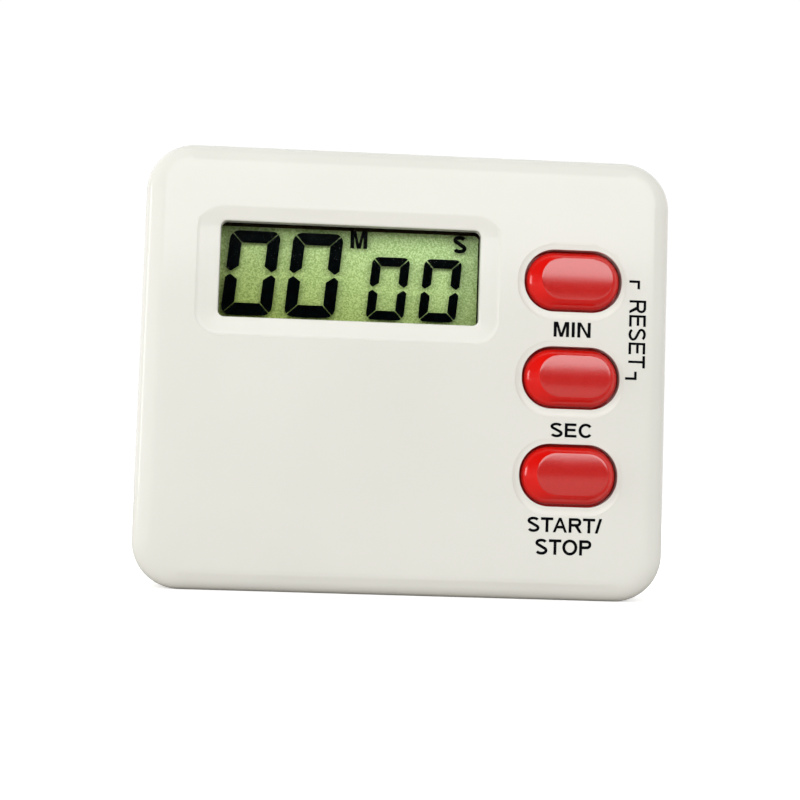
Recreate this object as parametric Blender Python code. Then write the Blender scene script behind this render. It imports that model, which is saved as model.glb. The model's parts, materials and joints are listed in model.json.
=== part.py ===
"""Digital kitchen timer: a two-shell plastic case with a display, three push buttons, a fold-out stand,
a sliding battery door, two magnets, and the board, keypad, sounder and cell that it holds.

+Z up. Shapes are drawn in millimetres, and main() turns them to metres. The timer stands on its bottom
edge with its face towards -Y and +X to the right of someone who reads it. The origin is the bottom centre
of the whole object's box."""

import math

import bmesh
import bpy
from mathutils import Matrix

METRES_PER_MM = 0.001

# ---- Driving dimensions, in millimetres ----
CASE_W, CASE_H = 75.0, 63.0
CASE_CORNER_R = 6.8
FRONT_EDGE_R = 2.4
BACK_EDGE_R = 2.0
WALL = 1.8
FACE_Y, BACK_Y = -8.0, 9.0
SEAM_Y, SEAM_GAP = 0.5, 0.2
INNER_FRONT_Y = FACE_Y + WALL
INNER_BACK_Y = BACK_Y - WALL
FIT = 0.15
GLASS_GAP = 0.1
RUNNING = 0.1

# ---- Display window, in the plane of the face ----
WINDOW_X, WINDOW_Z = (-26.65, 10.2), (38.4, 52.0)
WINDOW_R = 0.9
BEZEL_X, BEZEL_Z = (-29.9, 13.05), (35.7, 54.2)
BEZEL_R = 3.3
BEZEL_DEPTH = 0.25

# ---- Buttons ----
BUTTON_X = 23.55
BUTTON_Z = {"min": 45.3, "sec": 31.45, "start_stop": 17.6}
BUTTON_W, BUTTON_H, BUTTON_R = 13.65, 8.55, 4.15
BUTTON_TOP_Y = -9.0
BUTTON_TRAVEL = 0.8
DISH_LEFT, DISH_RIGHT, DISH_BELOW, DISH_ABOVE = 1.15, 0.8, 1.43, 0.95
DISH_R, DISH_DEPTH = 5.2, 0.2
FLANGE_MARGIN = 0.85
MAT_REACH_X, MAT_REACH_Z = 7.2, 5.4
COLLAR_R, COLLAR_BORE_R, POST_R = 3.2, 2.3, 2.1
FLANGE_Y = (INNER_FRONT_Y + 0.3, INNER_FRONT_Y + 1.3)

# ---- Display stack, from front to back ----
GLASS_X, GLASS_Z = (-29.3, 12.8), (34.4, 54.2)
LEDGE_Z = 37.2
LENS_Y = INNER_FRONT_Y + FIT
LENS_T, FILM_T, GLASS_T = 0.8, 0.2, 0.7

# ---- Board ----
BOARD_Y = (-1.0, 0.2)
BOARD_X, BOARD_Z = (-33.0, 34.0), (8.3, 55.2)
BOARD_STEP = (15.6, 23.3)
BOARD_SCREWS = ((-30.3, 28.5), (8.0, 28.5), (24.0, 53.7), (24.0, 9.9))

# ---- Cell and its compartment ----
CELL_R, CELL_LENGTH = 5.25, 44.5
NUB_R, NUB_LENGTH = 1.9, 1.0
CELL_Y, CELL_Z = 1.7, 15.55
TUB_X, TUB_Z = (-34.3, 14.2), (9.8, 21.3)
TUB_FLOOR_Y = -3.9
TUB_END_WALL, TUB_SIDE_WALL, TUB_FLOOR = 1.0, 1.6, 1.0
CONTACT_T = 0.4
SPRING_LENGTH = 3.0
DOOR_RAIL = 0.8
DOOR_SLOT_Y = (7.3, 8.2)
DOOR_END_X = 15.6

# ---- Fold-out stand ----
STAND_W = 25.8
STAND_TOP_Z, STAND_BOTTOM_Z = 50.0, 26.5
STAND_AXIS_Y = 7.4
STAND_Y = (7.0, 8.8)
BARREL_R, TRUNNION_R = 1.5, 0.9
RECESS_FLOOR_Y, HINGE_FLOOR_Y = 6.7, 5.7
RECESS_SIDE = 13.2

# ---- Magnets, sounder and case screws ----
MAGNET_X, MAGNET_Z, MAGNET_R, MAGNET_T = 26.0, 40.0, 5.0, 2.0
SOUNDER_X, SOUNDER_Z, SOUNDER_R = 26.3, 15.0, 7.5
CASE_SCREWS = ((-32.0, 5.0), (32.0, 5.0), (-32.0, 58.0), (32.0, 58.0))

LEAD_R = 0.4

ROUND = 28
SMALL_ROUND = 16


# ---- Materials ----
def material(name, colour, roughness, metallic=0.0, alpha=1.0):
    """A Principled material, made once for each name."""
    found = bpy.data.materials.get(name)
    if found:
        return found
    made = bpy.data.materials.new(name)
    made.use_nodes = True
    shader = made.node_tree.nodes["Principled BSDF"]
    shader.inputs["Base Color"].default_value = (*colour, 1.0)
    shader.inputs["Roughness"].default_value = roughness
    shader.inputs["Metallic"].default_value = metallic
    shader.inputs["Alpha"].default_value = alpha
    made.diffuse_color = (*colour, alpha)
    return made


def white_plastic():
    return material("white_plastic", (0.80, 0.79, 0.75), 0.25)


def red_plastic():
    return material("red_plastic", (0.55, 0.025, 0.02), 0.3)


def clear_plastic():
    return material("clear_plastic", (0.9, 0.92, 0.9), 0.05, alpha=0.3)


def steel():
    return material("steel", (0.6, 0.6, 0.6), 0.35, 1.0)


def nickel():
    return material("nickel", (0.7, 0.68, 0.64), 0.25, 1.0)


# ---- Outlines in the XZ plane ----
def arc(centre_x, centre_z, radius, start, end, count):
    """Points along a circular arc, angles in degrees, both ends included."""
    angles = (math.radians(start + (end - start) * i / count) for i in range(count + 1))
    return [(centre_x + radius * math.cos(a), centre_z + radius * math.sin(a)) for a in angles]


def rounded(x, z, radius, count=6):
    """A rounded rectangle between the limits x and z, anticlockwise seen from -Y."""
    (x0, x1), (z0, z1) = x, z
    return (
        arc(x1 - radius, z1 - radius, radius, 0, 90, count)
        + arc(x0 + radius, z1 - radius, radius, 90, 180, count)
        + arc(x0 + radius, z0 + radius, radius, 180, 270, count)
        + arc(x1 - radius, z0 + radius, radius, 270, 360, count)
    )


def rectangle(x, z):
    (x0, x1), (z0, z1) = x, z
    return [(x1, z1), (x0, z1), (x0, z0), (x1, z0)]


def circle(x, z, radius, count=ROUND):
    return arc(x, z, radius, 0, 360 - 360 / count, count - 1)


def case_outline(inset=0.0):
    """The case's outline in the face plane, moved in by inset."""
    x = (-CASE_W / 2 + inset, CASE_W / 2 - inset)
    return rounded(x, (inset, CASE_H - inset), CASE_CORNER_R - inset, 8)


def button_outline(centre_z, grow=0.0):
    """A button's outline, moved out by grow."""
    x = (BUTTON_X - BUTTON_W / 2 - grow, BUTTON_X + BUTTON_W / 2 + grow)
    z = (centre_z - BUTTON_H / 2 - grow, centre_z + BUTTON_H / 2 + grow)
    return rounded(x, z, BUTTON_R + grow, 8)


def dish_outline(centre_z, part):
    """Between a button's hole, at part 0, and the outer edge of the dish round it, at part 1."""
    left, right = BUTTON_X - BUTTON_W / 2, BUTTON_X + BUTTON_W / 2
    low, high = centre_z - BUTTON_H / 2, centre_z + BUTTON_H / 2
    x = (left - blend(FIT, DISH_LEFT, part), right + blend(FIT, DISH_RIGHT, part))
    z = (low - blend(FIT, DISH_BELOW, part), high + blend(FIT, DISH_ABOVE, part))
    return rounded(x, z, blend(BUTTON_R + FIT, DISH_R, part), 8)


# ---- Solids ----
def add_object(name, mesh_builder, finish):
    mesh = bpy.data.meshes.new(name)
    bmesh.ops.recalc_face_normals(mesh_builder, faces=mesh_builder.faces)
    mesh_builder.to_mesh(mesh)
    mesh_builder.free()
    made = bpy.data.objects.new(name, mesh)
    bpy.context.collection.objects.link(made)
    if finish:
        mesh.materials.append(finish)
    return made


def loft(name, sections, finish=None):
    """A closed solid through sections, each a depth y and an outline of as many points as the first."""
    build = bmesh.new()
    rings = []
    for y, outline in sections:
        rings.append([build.verts.new((x, y, z)) for x, z in outline])
    for lower, upper in zip(rings, rings[1:]):
        for i in range(len(lower)):
            j = (i + 1) % len(lower)
            build.faces.new((lower[i], lower[j], upper[j], upper[i]))
    build.faces.new(rings[0])
    build.faces.new(list(reversed(rings[-1])))
    return add_object(name, build, finish)


def prism(name, outline, y, finish=None):
    return loft(name, [(y[0], outline), (y[1], outline)], finish)


def block(name, x, y, z, finish=None):
    return prism(name, rectangle(x, z), y, finish)


def disc(name, x, z, radius, y, finish=None, count=ROUND):
    return prism(name, circle(x, z, radius, count), y, finish)


def rod_x(name, x, centre_y, centre_z, radius, finish=None, count=SMALL_ROUND):
    """A round bar along X."""
    build = bmesh.new()
    ends = []
    for end in x:
        ring = circle(centre_y, centre_z, radius, count)
        ends.append([build.verts.new((end, y, z)) for y, z in ring])
    for i in range(count):
        j = (i + 1) % count
        build.faces.new((ends[0][i], ends[0][j], ends[1][j], ends[1][i]))
    build.faces.new(ends[0])
    build.faces.new(list(reversed(ends[1])))
    return add_object(name, build, finish)


def wire(name, points, radius, finish, sides=1):
    """A round wire through the points, with closed ends."""
    curve = bpy.data.curves.new(name, "CURVE")
    curve.dimensions = "3D"
    curve.bevel_depth = radius
    curve.bevel_resolution = sides
    curve.resolution_u = 1
    curve.render_resolution_u = 0
    curve.use_fill_caps = True
    spline = curve.splines.new("POLY")
    spline.points.add(len(points) - 1)
    for place, (x, y, z) in zip(spline.points, points):
        place.co = (x, y, z, 1.0)
    guide = bpy.data.objects.new(name, curve)
    bpy.context.collection.objects.link(guide)
    mesh = bpy.data.meshes.new_from_object(guide.evaluated_get(bpy.context.evaluated_depsgraph_get()))
    bpy.data.objects.remove(guide)
    bpy.data.curves.remove(curve)
    mesh.materials.append(finish)
    bpy.context.collection.objects.link(bpy.data.objects.new(name, mesh))


# ---- Shaping ----
def combine(target, tool, operation):
    """Applies one Boolean to target with tool, and removes tool."""
    change = target.modifiers.new("shape", "BOOLEAN")
    change.operation = operation
    change.solver = "EXACT"
    change.object = tool
    evaluated = target.evaluated_get(bpy.context.evaluated_depsgraph_get())
    mesh = bpy.data.meshes.new_from_object(evaluated)
    target.modifiers.clear()
    before = target.data
    target.data = mesh
    bpy.data.meshes.remove(before)
    bpy.data.objects.remove(tool)


def cut(target, *tools):
    for tool in tools:
        combine(target, tool, "DIFFERENCE")


def join(target, *tools):
    for tool in tools:
        combine(target, tool, "UNION")


def keep_inside(target, tool):
    combine(target, tool, "INTERSECT")


def smooth(made, angle=35.0):
    made.data.shade_smooth()
    made.data.set_sharp_from_angle(angle=math.radians(angle))


def move_origin(made, x, y, z):
    """Puts the object's origin at a point, and leaves its shape where it is."""
    made.data.transform(Matrix.Translation((-x, -y, -z)))
    made.location = (x, y, z)


def turn_to_metres():
    for made in bpy.data.objects:
        made.data.transform(Matrix.Scale(METRES_PER_MM, 4))
        made.location *= METRES_PER_MM


# ---- Case ----
def rounded_end(radius, steps):
    """How far in and how far back each ring of a rounded edge lies."""
    turns = (math.radians(90 * i / steps) for i in range(steps + 1))
    return [(radius * (1 - math.sin(t)), radius * (1 - math.cos(t))) for t in turns]


def front_body(name, finish):
    sections = [(FACE_Y + back, case_outline(inset)) for inset, back in rounded_end(FRONT_EDGE_R, 4)]
    sections.append((SEAM_Y - SEAM_GAP / 2, case_outline()))
    return loft(name, sections, finish)


def back_body(name, finish):
    sections = [(BACK_Y - back, case_outline(inset)) for inset, back in rounded_end(BACK_EDGE_R, 4)]
    sections.append((SEAM_Y + SEAM_GAP / 2, case_outline()))
    return loft(name, sections, finish)


def blend(inner, outer, part):
    return inner + (outer - inner) * part


def bezel_outline(part):
    """Between the window, at part 0, and the outer edge of the sunk band round it, at part 1."""
    x = (blend(WINDOW_X[0], BEZEL_X[0], part), blend(WINDOW_X[1], BEZEL_X[1], part))
    z = (blend(WINDOW_Z[0], BEZEL_Z[0], part), blend(WINDOW_Z[1], BEZEL_Z[1], part))
    return rounded(x, z, blend(WINDOW_R, BEZEL_R, part))


def window_cutter():
    """The window through the wall and the shallow band round it, steepest at its outer edge."""
    sections = [
        (FACE_Y - 1.0, bezel_outline(1.0)),
        (FACE_Y, bezel_outline(1.0)),
        (FACE_Y + 0.65 * BEZEL_DEPTH, bezel_outline(0.7)),
        (FACE_Y + BEZEL_DEPTH, bezel_outline(0.0)),
        (INNER_FRONT_Y + 1.0, bezel_outline(0.0)),
    ]
    return loft("window_cutter", sections)


def button_cutter(centre_z):
    """The dish round a button and the hole that it slides in."""
    sections = [
        (FACE_Y - 1.0, dish_outline(centre_z, 1.0)),
        (FACE_Y, dish_outline(centre_z, 1.0)),
        (FACE_Y + 0.7 * DISH_DEPTH, dish_outline(centre_z, 0.6)),
        (FACE_Y + DISH_DEPTH, button_outline(centre_z, FIT)),
        (INNER_FRONT_Y + 1.0, button_outline(centre_z, FIT)),
    ]
    return loft("button_cutter", sections)


def front_shell():
    shell = front_body("front_shell", white_plastic())
    cut(shell, prism("cavity", case_outline(WALL), (INNER_FRONT_Y, SEAM_Y + 1)))
    cut(shell, window_cutter())
    for centre_z in BUTTON_Z.values():
        cut(shell, button_cutter(centre_z))
    seam = SEAM_Y - SEAM_GAP / 2
    for x, z in CASE_SCREWS:
        join(shell, disc("boss", x, z, 2.5, (INNER_FRONT_Y - 0.5, seam), count=20))
        cut(shell, disc("pilot", x, z, 1.0, (-4.2, SEAM_Y + 1), count=12))
    board_seat = BOARD_Y[0] - FIT
    for x, z in BOARD_SCREWS:
        join(shell, disc("boss", x, z, 1.6, (INNER_FRONT_Y - 0.5, board_seat), count=14))
        cut(shell, disc("pilot", x, z, 0.7, (-4.6, board_seat + 1), count=10))
    smooth(shell)


def door_slab(grow, end_x):
    """The battery door's section, a plate between two rails, run out past the case's left side."""
    start_x = -CASE_W / 2 - 2
    rail_z = (TUB_Z[0] - DOOR_RAIL - grow, TUB_Z[1] + DOOR_RAIL + grow)
    plate_z = (TUB_Z[0] - grow, TUB_Z[1] + grow)
    rails = block("rails", (start_x, end_x), (DOOR_SLOT_Y[0] - grow, DOOR_SLOT_Y[1] + grow), rail_z)
    join(rails, block("plate", (start_x, end_x), (DOOR_SLOT_Y[0], BACK_Y + 1), plate_z))
    return rails


def battery_door():
    door = back_body("battery_door", white_plastic())
    keep_inside(door, door_slab(-FIT, DOOR_END_X - FIT))
    for i in range(5):
        x = -31.0 + 1.8 * i
        cut(door, block("grip", (x, x + 0.8), (BACK_Y - 0.4, BACK_Y + 1), (12.0, 19.1)))
    move_origin(door, 0, BACK_Y, CELL_Z)


def add_battery_tub(shell):
    outer_z = (TUB_Z[0] - TUB_SIDE_WALL, TUB_Z[1] + TUB_SIDE_WALL)
    outer_x = (-CASE_W / 2 + WALL + FIT, TUB_X[1] + TUB_END_WALL)
    join(shell, block("tub", outer_x, (TUB_FLOOR_Y - TUB_FLOOR, INNER_BACK_Y + 0.5), outer_z))
    side_x = (-CASE_W / 2 + 1, TUB_X[0] + 0.5)
    join(shell, block("side", side_x, (SEAM_Y + SEAM_GAP / 2, INNER_BACK_Y + 0.5), outer_z))
    sill_x = (outer_x[1] - 0.5, DOOR_END_X + 0.8)
    join(shell, block("sill", sill_x, (5.5, INNER_BACK_Y + 0.5), outer_z))
    cut(shell, block("tub_hollow", TUB_X, (TUB_FLOOR_Y, BACK_Y + 1), TUB_Z))
    cut(shell, door_slab(0.0, DOOR_END_X))
    for x in (TUB_X[0] + 0.1, TUB_X[1] - 0.9):
        cut(shell, block("tab_slot", (x, x + 0.8), (0.8, 4.2), (TUB_Z[1] - 0.5, outer_z[1] + 0.5)))


def add_stand_recess(shell):
    top_z = STAND_TOP_Z + BARREL_R + 0.3
    recess_z = (STAND_BOTTOM_Z - 0.3, top_z)
    backing_z = (recess_z[0] - 1.2, top_z + 1.2)
    join(shell, block("backing", (-15.8, 15.8), (4.7, INNER_BACK_Y + 0.5), backing_z))
    cut(shell, block("recess", (-RECESS_SIDE, RECESS_SIDE), (RECESS_FLOOR_Y, BACK_Y + 1), recess_z))
    hinge_z = (STAND_TOP_Z - BARREL_R - 0.3, top_z)
    cut(shell, block("hinge_bay", (-RECESS_SIDE, RECESS_SIDE), (HINGE_FLOOR_Y, BACK_Y + 1), hinge_z))
    sockets = (-RECESS_SIDE - 1.3, RECESS_SIDE + 1.3)
    cut(shell, rod_x("sockets", sockets, STAND_AXIS_Y, STAND_TOP_Z, TRUNNION_R + RUNNING))


def add_magnet_pockets(shell):
    for x in (-MAGNET_X, MAGNET_X):
        join(shell, disc("backing", x, MAGNET_Z, MAGNET_R + 1.2, (5.5, INNER_BACK_Y + 0.5)))
        pocket_y = (BACK_Y - MAGNET_T - 0.3, BACK_Y + 1)
        cut(shell, disc("pocket", x, MAGNET_Z, MAGNET_R + FIT, pocket_y))


def add_sounder_seat(shell):
    seat = disc("seat", SOUNDER_X, SOUNDER_Z, SOUNDER_R + 1.0, (5.7, INNER_BACK_Y + 0.5))
    cut(seat, disc("chamber", SOUNDER_X, SOUNDER_Z, SOUNDER_R - 1.0, (5.0, INNER_BACK_Y)))
    join(shell, seat)
    holes = [(0.0, 0.0)] + [
        (3.2 * math.cos(math.radians(a)), 3.2 * math.sin(math.radians(a))) for a in range(0, 360, 60)
    ]
    for x, z in holes:
        place = (SOUNDER_X + x, SOUNDER_Z + z)
        cut(shell, disc("sound_hole", *place, 0.75, (INNER_BACK_Y - 1, BACK_Y + 1), count=12))


def add_seam_tongue(shell):
    """The lip that fits inside the front shell, notched round the screw bosses."""
    tongue = prism("tongue", case_outline(WALL + FIT), (SEAM_Y - 1.4, SEAM_Y + 0.6))
    cut(tongue, prism("inside", case_outline(WALL + FIT + 0.8), (SEAM_Y - 2, SEAM_Y + 1)))
    for x, z in CASE_SCREWS:
        cut(tongue, disc("notch", x, z, 2.5 + FIT, (SEAM_Y - 2, SEAM_Y + 1), count=20))
    join(shell, tongue)


def rear_shell():
    shell = back_body("rear_shell", white_plastic())
    cut(shell, prism("cavity", case_outline(WALL), (SEAM_Y - 1, INNER_BACK_Y)))
    join(shell, prism("ledge", case_outline(WALL - 0.4), (SEAM_Y + 0.4, SEAM_Y + 1.2)))
    cut(shell, prism("ledge_hole", case_outline(WALL + 0.8), (SEAM_Y - 1, SEAM_Y + 2)))
    add_seam_tongue(shell)
    add_battery_tub(shell)
    add_stand_recess(shell)
    add_magnet_pockets(shell)
    add_sounder_seat(shell)
    for x, z in CASE_SCREWS:
        join(shell, disc("post", x, z, 3.0, (SEAM_Y + SEAM_GAP / 2, INNER_BACK_Y + 0.5), count=20))
        cut(shell, disc("shank_hole", x, z, 1.1, (SEAM_Y - 1, BACK_Y + 1), count=12))
        cut(shell, disc("head_hole", x, z, 2.3, (BACK_Y - 1.5, BACK_Y + 1), count=20))
    smooth(shell)


def screw(name, x, z, head_y, head_t, head_r, shank_r, tip_y):
    """A pan-head screw driven from behind, with a cross in its head."""
    sections = [
        (head_y + head_t, circle(x, z, head_r * 0.8, SMALL_ROUND)),
        (head_y + head_t * 0.6, circle(x, z, head_r, SMALL_ROUND)),
        (head_y, circle(x, z, head_r, SMALL_ROUND)),
        (head_y, circle(x, z, shank_r, SMALL_ROUND)),
        (tip_y + shank_r, circle(x, z, shank_r, SMALL_ROUND)),
        (tip_y, circle(x, z, shank_r * 0.3, SMALL_ROUND)),
    ]
    made = loft(name, sections, steel())
    arm, half = head_r * 0.6, head_r * 0.12
    depth = (head_y + head_t * 0.45, head_y + head_t + 1)
    cross = block("cross", (x - arm, x + arm), depth, (z - half, z + half))
    join(cross, block("bar", (x - half, x + half), depth, (z - arm, z + arm)))
    cut(made, cross)
    smooth(made)


def screws():
    for i, (x, z) in enumerate(CASE_SCREWS, 1):
        screw(f"case_screw_{i}", x, z, BACK_Y - 1.35, 1.2, 2.1, 0.9, -2.8)
    for i, (x, z) in enumerate(BOARD_SCREWS, 1):
        screw(f"board_screw_{i}", x, z, BOARD_Y[1] + FIT, 0.8, 1.4, 0.55, -4.2)


# ---- Display ----
def display():
    depth = LENS_Y
    frame = 1.4
    lens_x = (WINDOW_X[0] - frame, WINDOW_X[1] + frame)
    lens_z = (WINDOW_Z[0] - frame, WINDOW_Z[1] + frame)
    block("display_window", lens_x, (depth, depth + LENS_T), lens_z, clear_plastic())
    depth += LENS_T + FIT
    cell_z = (LEDGE_Z, GLASS_Z[1])
    film = material("polariser_film", (0.35, 0.42, 0.25), 0.2, alpha=0.5)
    glass = material("display_glass", (0.7, 0.8, 0.65), 0.05, alpha=0.4)
    mirror = material("reflector_film", (0.30, 0.42, 0.15), 0.4)
    layers = (
        ("front_polariser", FILM_T, cell_z, film),
        ("display_front_glass", GLASS_T, GLASS_Z, glass),
        ("display_rear_glass", GLASS_T, cell_z, glass),
        ("display_reflector", FILM_T, cell_z, mirror),
    )
    backs = {}
    for name, thickness, z, finish in layers:
        block(name, GLASS_X, (depth, depth + thickness), z, finish)
        backs[name] = depth + thickness
        depth += thickness + GLASS_GAP
    strip_y = (backs["display_front_glass"] + GLASS_GAP, BOARD_Y[0] - GLASS_GAP)
    strip_x = (GLASS_X[0] + 1.0, GLASS_X[1] - 1.0)
    strip_z = (GLASS_Z[0] + 0.3, LEDGE_Z - 0.3)
    elastomer = material("elastomer", (0.75, 0.72, 0.68), 0.6)
    block("elastomer_connector", strip_x, strip_y, strip_z, elastomer)
    display_holder(depth, strip_z)


def display_holder(ledge_y, strip_z):
    """The frame round the glass, with a ledge behind it and a slot for the connector strip."""
    holder_x = (GLASS_X[0] - 1.0, GLASS_X[1] + 1.0)
    holder_z = (GLASS_Z[0] - 1.2, GLASS_Z[1] + 1.0)
    top_y = LENS_Y + LENS_T + FIT
    finish = material("holder_plastic", (0.75, 0.75, 0.72), 0.5)
    holder = block("display_holder", holder_x, (top_y, BOARD_Y[0] - FIT), holder_z, finish)
    pocket_x = (GLASS_X[0] - 0.2, GLASS_X[1] + 0.2)
    pocket_z = (LEDGE_Z - 0.2, GLASS_Z[1] + 0.2)
    cut(holder, block("pocket", pocket_x, (top_y - 1, ledge_y), pocket_z))
    front_glass_y = top_y + FILM_T + GLASS_GAP + GLASS_T + GLASS_GAP
    ledge_z = (GLASS_Z[0] - 0.2, pocket_z[1])
    cut(holder, block("ledge_pocket", pocket_x, (top_y - 1, front_glass_y), ledge_z))
    slot_z = (strip_z[0] - 0.15, strip_z[1] + 0.15)
    slot_x = (GLASS_X[0] + 0.8, GLASS_X[1] - 0.8)
    cut(holder, block("slot", slot_x, (top_y - 1, BOARD_Y[0] + 1), slot_z))
    opening_z = (LEDGE_Z + 2.0, GLASS_Z[1] - 1.5)
    cut(holder, block("opening", (GLASS_X[0] + 2, GLASS_X[1] - 2), (top_y - 1, BOARD_Y[0] + 1), opening_z))


# ---- Board and what is soldered to it ----
def circuit_board():
    (x0, x1), (z0, z1) = BOARD_X, BOARD_Z
    step_x, step_z = BOARD_STEP
    outline = [(x1, z1), (x0, z1), (x0, step_z), (step_x, step_z), (step_x, z0), (x1, z0)]
    board = prism("circuit_board", outline, BOARD_Y, material("board_green", (0.05, 0.2, 0.08), 0.4))
    for x, z in BOARD_SCREWS:
        cut(board, disc("hole", x, z, 0.9, (BOARD_Y[0] - 1, BOARD_Y[1] + 1), count=12))


def dome(name, x, z, radius, height, base_y, finish):
    """A low round blob standing on the back of the board."""
    turns = [math.radians(90 * i / 5) for i in range(5)]
    sections = [(base_y + height * math.sin(t), circle(x, z, radius * math.cos(t))) for t in turns]
    made = loft(name, sections, finish)
    smooth(made)


def board_parts():
    base = BOARD_Y[1] + FIT
    black = material("black_resin", (0.02, 0.02, 0.02), 0.4)
    dome("chip_resin_cap", -8.0, 42.0, 5.0, 1.5, base, black)
    rod_x("timing_crystal", (2.0, 8.0), base + 1.1, 46.0, 1.0, nickel())
    block("chip_resistor", (-20.0, -18.0), (base, base + 0.5), (33.0, 34.2), black)
    tan = material("ceramic_tan", (0.55, 0.42, 0.28), 0.5)
    block("chip_capacitor", (-20.0, -18.0), (base, base + 0.9), (37.0, 38.2), tan)
    sleeve = material("capacitor_sleeve", (0.03, 0.05, 0.12), 0.35)
    rod_x("electrolytic_capacitor", (-2.0, 5.0), base + 2.2, 30.0, 2.0, sleeve)
    copper = material("copper_coil", (0.6, 0.28, 0.12), 0.35, 1.0)
    disc("sounder_coil", 30.0, 30.0, 2.6, (base, base + 4.5), copper)


# ---- Keypad and buttons ----
def keypad_mat():
    """The rubber sheet on the board, with a collar round each moving centre."""
    rubber = material("keypad_rubber", (0.55, 0.55, 0.54), 0.7)
    x = (BUTTON_X - MAT_REACH_X, BUTTON_X + MAT_REACH_X)
    z = (BUTTON_Z["start_stop"] - MAT_REACH_Z, BUTTON_Z["min"] + MAT_REACH_Z)
    base = BOARD_Y[0] - FIT
    mat = prism("keypad_mat", rounded(x, z, 1.5, 3), (base - 0.7, base), rubber)
    for centre_z in BUTTON_Z.values():
        join(mat, disc("collar", BUTTON_X, centre_z, COLLAR_R, (base - 1.7, base - 0.3), count=20))
        cut(mat, disc("way", BUTTON_X, centre_z, COLLAR_BORE_R, (base - 3, base + 1), count=20))


def button(name, centre_z):
    """A cap with a raised flat, a rounded rim, and a flange behind the wall that keeps it in."""
    profile = (
        (BUTTON_TOP_Y, -1.9),
        (BUTTON_TOP_Y + 0.1, -1.5),
        (BUTTON_TOP_Y + 0.45, -0.6),
        (BUTTON_TOP_Y + 0.95, -0.12),
        (BUTTON_TOP_Y + 1.5, 0.0),
        (FLANGE_Y[0], 0.0),
        (FLANGE_Y[0], FLANGE_MARGIN),
        (FLANGE_Y[1], FLANGE_MARGIN),
    )
    sections = [(y, button_outline(centre_z, grow)) for y, grow in profile]
    cap = loft(f"{name}_button", sections, red_plastic())
    smooth(cap)
    move_origin(cap, BUTTON_X, BUTTON_TOP_Y, centre_z)


def contact_pad(name, centre_z):
    """The moving centre of a rubber dome: a post with a conductive foot that meets the board."""
    foot_y = BOARD_Y[0] - FIT - BUTTON_TRAVEL
    sections = [
        (FLANGE_Y[1] + FIT, circle(BUTTON_X, centre_z, 2.6, 20)),
        (-4.0, circle(BUTTON_X, centre_z, 2.6, 20)),
        (-3.8, circle(BUTTON_X, centre_z, POST_R, 20)),
        (foot_y, circle(BUTTON_X, centre_z, POST_R, 20)),
    ]
    pad = loft(f"{name}_contact_pad", sections, material("carbon_rubber", (0.03, 0.03, 0.03), 0.6))
    move_origin(pad, BUTTON_X, BUTTON_TOP_Y, centre_z)


def keypad():
    keypad_mat()
    for name, centre_z in BUTTON_Z.items():
        button(name, centre_z)
        contact_pad(name, centre_z)


# ---- Cell and contacts ----
def cell():
    start = TUB_X[0] + CONTACT_T + 0.1 + FIT
    end = start + CELL_LENGTH
    finish = material("cell_jacket", (0.05, 0.15, 0.35), 0.3)
    body = rod_x("battery_cell", (start + NUB_LENGTH, end), CELL_Y, CELL_Z, CELL_R, finish, ROUND)
    join(body, rod_x("nub", (start, start + NUB_LENGTH + 0.5), CELL_Y, CELL_Z, NUB_R))
    smooth(body)
    return end


def contact_plate(name, x):
    plate = block(name, (x, x + CONTACT_T), (-2.0, 5.5), (11.5, TUB_Z[1] - 0.3), nickel())
    join(plate, block("tab", (x, x + CONTACT_T), (1.0, 4.0), (TUB_Z[1] - 1, 25.0)))


def contacts(cell_end):
    contact_plate("positive_contact", TUB_X[0] + 0.1)
    plate_x = TUB_X[1] - CONTACT_T - 0.1
    contact_plate("negative_contact", plate_x)
    turns, per_turn, wire_r = 2.5, 12, 0.3
    first = cell_end + FIT + wire_r
    last = plate_x - FIT - wire_r
    points = []
    count = int(turns * per_turn)
    for i in range(count + 1):
        part = i / count
        angle = 2 * math.pi * turns * part
        radius = blend(2.4, 3.6, part)
        y = CELL_Y + radius * math.cos(angle)
        z = CELL_Z + radius * math.sin(angle)
        points.append((blend(first, last, part), y, z))
    wire("battery_spring", points, wire_r, nickel())


# ---- Sounder ----
def sounder():
    brass = material("brass", (0.7, 0.5, 0.2), 0.3, 1.0)
    ceramic = material("piezo_ceramic", (0.75, 0.73, 0.68), 0.4)
    seat_y = 5.7 - FIT
    disc("sounder_plate", SOUNDER_X, SOUNDER_Z, SOUNDER_R, (seat_y - 0.2, seat_y), brass)
    crystal_y = seat_y - 0.2 - GLASS_GAP
    disc("sounder_ceramic", SOUNDER_X, SOUNDER_Z, 5.0, (crystal_y - 0.2, crystal_y), ceramic)


# ---- Back: stand and magnets ----
def stand():
    """A plate that swings out on two stub axles, with a notch for a fingernail."""
    half = STAND_W / 2
    plate_z = (STAND_BOTTOM_Z, STAND_TOP_Z)
    made = prism("fold_out_stand", rounded((-half, half), plate_z, 1.2, 3), STAND_Y, white_plastic())
    cut(made, disc("notch", 0.0, STAND_BOTTOM_Z, 4.0, (STAND_Y[0] - 1, STAND_Y[1] + 1)))
    join(made, rod_x("barrel", (-half, half), STAND_AXIS_Y, STAND_TOP_Z, BARREL_R))
    stub = RECESS_SIDE + 1.1
    join(made, rod_x("axle", (-stub, stub), STAND_AXIS_Y, STAND_TOP_Z, TRUNNION_R))
    smooth(made)
    move_origin(made, 0, STAND_AXIS_Y, STAND_TOP_Z)


def magnets():
    for side, x in (("left", -MAGNET_X), ("right", MAGNET_X)):
        y = (BACK_Y - FIT - MAGNET_T, BACK_Y - FIT)
        disc(f"{side}_magnet", x, MAGNET_Z, MAGNET_R, y, steel())


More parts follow.
